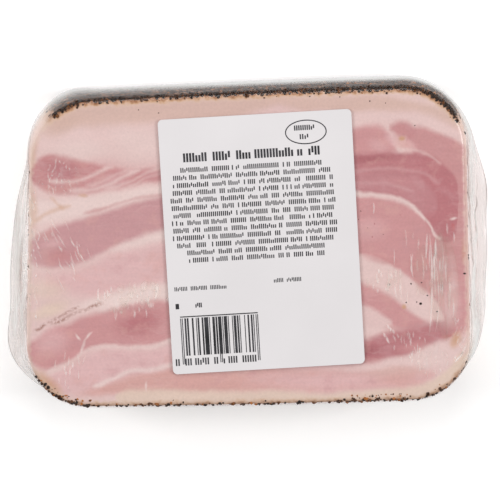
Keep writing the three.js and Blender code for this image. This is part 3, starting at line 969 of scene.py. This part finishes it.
# Paper fibres, about 0.25 mm apart.
fibre = add_node("TexNoise", Vector=to_mm, Scale=1 / 0.25, Detail=2.0)
bump = add_node("Bump", Height=fibre, Strength=0.1, Distance=0.00005)
body = add_node("BsdfPrincipled", Base_Color=white, Roughness=0.6, IOR=1.45, Normal=bump)
add_node("OutputMaterial", Surface=body)
paper_label = finish_piece(bm, "paper_label", paper, "label_paper", "label")
paper_label.data.shade_flat()

# The label's print.
# Black heat-printed marks, all in plain strokes and bars: a title, a block of fine print, two small
# fields, a bar code of random bars and an oval ring.

PRINT_TOP = LABEL_TOP + 0.02
PRINT_DEPTH = 0.06  # most of it sunk into the paper
BLOCK_MIDDLE = -1.4
BLOCK_HALF = 26.2
BLOCK_FOOT = 23.3  # of its first line
LINE_PITCH = 2.37
INDENTS = (3.6, 1.2, 1.0, 0.8, 0, 0.2, 0.6, 0, 0.3, 0, 1.2, 4.2, 4.6)  # of each line, at both ends
CODE_LEFT = -26.9
CODE_WIDTH = 24.4
MODULES = 95
RING_CENTRE = (15.7, 33.8)
RING_OUTER = (6.5, 3.85)
RING_INNER = (6.15, 3.5)
RING_DEPTH = 0.04

bm = bmesh.new()
strokes = random.Random(21)


def bar(left, low, width, height):
    """One printed bar, from its left end and its foot."""
    middle = Matrix.Translation((left + width / 2, low + height / 2, PRINT_TOP - PRINT_DEPTH / 2))
    size = Matrix.Diagonal((width, height, PRINT_DEPTH, 1))
    bmesh.ops.create_cube(bm, size=1.0, matrix=middle @ size)


def print_line(left, right, foot, height, pitch, pen):
    """A line of print between two ends: runs of upright strokes with gaps between them."""
    at = left
    run = strokes.randint(3, 9)
    while at + pitch <= right:
        if run == 0:
            at += pitch * 0.85
            run = strokes.randint(2, 11)
            continue
        tall = height * strokes.choice((1, 1, 0.72))
        bar(at, foot, pen, tall)
        if strokes.random() < 0.88:
            bar(at + pitch * 0.5, foot + strokes.choice((0, height - tall)), pen, tall)
        at += pitch
        run -= 1


print_line(-22.9, 20.1, 26.5, 2.8, 1.9, 0.66)  # the title
for row, indent in enumerate(INDENTS):
    half = BLOCK_HALF - indent
    print_line(BLOCK_MIDDLE - half, BLOCK_MIDDLE + half, BLOCK_FOOT - LINE_PITCH * row, 1.5, 1.25, 0.37)
print_line(-28.1, -11.3, -13.9, 1.3, 1.05, 0.3)
print_line(3.1, 13.5, -12.9, 1.3, 1.05, 0.3)
bar(-28.1, -19.6, 1.1, 1.7)
print_line(-21.9, -18.7, -19.4, 1.5, 1.1, 0.4)

# The bar code has three pairs of long guard bars, and its narrowest bar is 0.26 mm wide.
step = CODE_WIDTH / MODULES
for module in range(MODULES):
    guard = module in (0, 2, 46, 48, 92, 94)
    if guard or (4 < module < 90 and strokes.random() < 0.5):
        bar(CODE_LEFT + module * step, -37.2 if guard else -34.5, step * 1.05, 14.6 if guard else 11.9)
bar(CODE_LEFT, -22.3, CODE_WIDTH, 0.35)
for side_start, side_end in ((-29.1, -27.7), (-26.1, -15.7), (-14.1, -3.7)):
    print_line(side_start, side_end + 0.6, -37.6, 2.2, 1.55, 0.46)

# The oval ring round two short lines.
outer = bmesh.ops.create_circle(bm, segments=64, radius=1.0)["verts"]
inner = bmesh.ops.create_circle(bm, segments=64, radius=1.0)["verts"]
bmesh.ops.scale(bm, vec=(*RING_OUTER, 1), verts=outer)
bmesh.ops.scale(bm, vec=(*RING_INNER, 1), verts=inner)
rims = list({edge for vert in outer + inner for edge in vert.link_edges})
ring = bmesh.ops.bridge_loops(bm, edges=rims)["faces"]
bmesh.ops.translate(bm, vec=(*RING_CENTRE, PRINT_TOP - RING_DEPTH), verts=outer + inner)
raised = bmesh.ops.extrude_face_region(bm, geom=ring)["geom"]
raised = [part for part in raised if isinstance(part, bmesh.types.BMVert)]
bmesh.ops.translate(bm, vec=(0, 0, RING_DEPTH), verts=raised)
print_line(12.1, 19.9, 34.4, 1.6, 1.3, 0.42)
print_line(13.7, 18.1, 31.6, 1.6, 1.5, 0.42)
bmesh.ops.transform(bm, matrix=ON_THE_PACK, verts=bm.verts)
bmesh.ops.recalc_face_normals(bm, faces=bm.faces)

# Heat-blackened coating: a dull black that thins to grey, over about 6 mm, where the head pressed
# less.
black, tree = new_finish("thermal_print_black")
to_mm = place_in_mm()
thin = add_node("TexNoise", Vector=to_mm, Scale=1 / 6, Detail=2.0)
ink = add_node("ValToRGB", Fac=thin)
set_tones(ink, (0.3, "#1c1c1f"), (0.75, "#47454a"))
body = add_node("BsdfPrincipled", Base_Color=ink, Roughness=0.6, IOR=1.45)
add_node("OutputMaterial", Surface=body)
label_print = finish_piece(bm, "label_print", black, "label_paper", "label")
label_print.data.shade_flat()

# The studio.
# A white table that glows a little, a bright even room, soft lights at the sides and the top, and a
# camera high over the pack, looking a little down towards its lower rind.

TABLE_GLOW = 0.22
ROOM_LIGHT = 0.44

table = bmesh.new()
bmesh.ops.create_grid(table, x_segments=1, y_segments=1, size=1.5)
mesh = bpy.data.meshes.new("white_table")
table.to_mesh(mesh)
table.free()
white_table, tree = new_finish("white_laminate")
glow = {"Emission_Color": (1, 1, 1, 1), "Emission_Strength": TABLE_GLOW}
body = add_node("BsdfPrincipled", Base_Color=(0.95, 0.95, 0.95, 1), Roughness=0.8, **glow)
add_node("OutputMaterial", Surface=body)
mesh.materials.append(white_table)
floor = new_object("white_table", mesh)
floor.location = (0, 0, -0.0002)  # a hair under the pack, so that the two don't share a plane

room = bpy.data.worlds.new("room")
room.use_nodes = True
room.node_tree.nodes["Background"].inputs["Color"].default_value = (1, 1, 1, 1)
room.node_tree.nodes["Background"].inputs["Strength"].default_value = ROOM_LIGHT
bpy.context.scene.world = room

for name, spot, size, power in (
    ("left_softbox", (-0.95, 0.25, 0.95), 0.5, 6.2),
    ("right_softbox", (0.95, 0.1, 0.85), 0.4, 6.2),
    ("top_softbox", (0.0, 0.9, 0.8), 0.6, 3.4),
):
    light = bpy.data.lights.new(name, "AREA")
    light.size = size
    light.energy = power
    lamp = new_object(name, light)
    lamp.location = spot
    lamp.rotation_mode = "QUATERNION"
    lamp.rotation_quaternion = (-Vector(spot)).to_track_quat("-Z", "Y")
    lamp.visible_camera = False
    lamp.visible_glossy = name != "left_softbox"

CAMERA_AWAY = 1.1  # metres from the cut face
CAMERA_TILT = math.radians(8.0)
CAMERA_ROLL = math.radians(1.5)
PHOTO_SCALE = 3.2  # pixels a millimetre on the cut face
PHOTO_WIDTH = 500  # pixels
SENSOR = 36
AIM = Vector((0.00107, -0.0003, 0.034))
back = Vector((0, math.sin(CAMERA_TILT), math.cos(CAMERA_TILT)))
level = Vector((1, 0, 0))
steep = back.cross(level)
right = math.cos(CAMERA_ROLL) * level - math.sin(CAMERA_ROLL) * steep
upward = math.sin(CAMERA_ROLL) * level + math.cos(CAMERA_ROLL) * steep
camera_data = bpy.data.cameras.new("camera")
camera_data.lens = PHOTO_SCALE * CAMERA_AWAY * 1000 / PHOTO_WIDTH * SENSOR
camera_data.sensor_width = SENSOR
camera_data.clip_start = 0.05
camera = new_object("camera", camera_data)
camera.rotation_mode = "QUATERNION"
camera.rotation_quaternion = Matrix((right, upward, back)).transposed().to_quaternion()
camera.location = AIM + CAMERA_AWAY * back
bpy.context.scene.camera = camera
bpy.context.scene.view_settings.view_transform = "Standard"
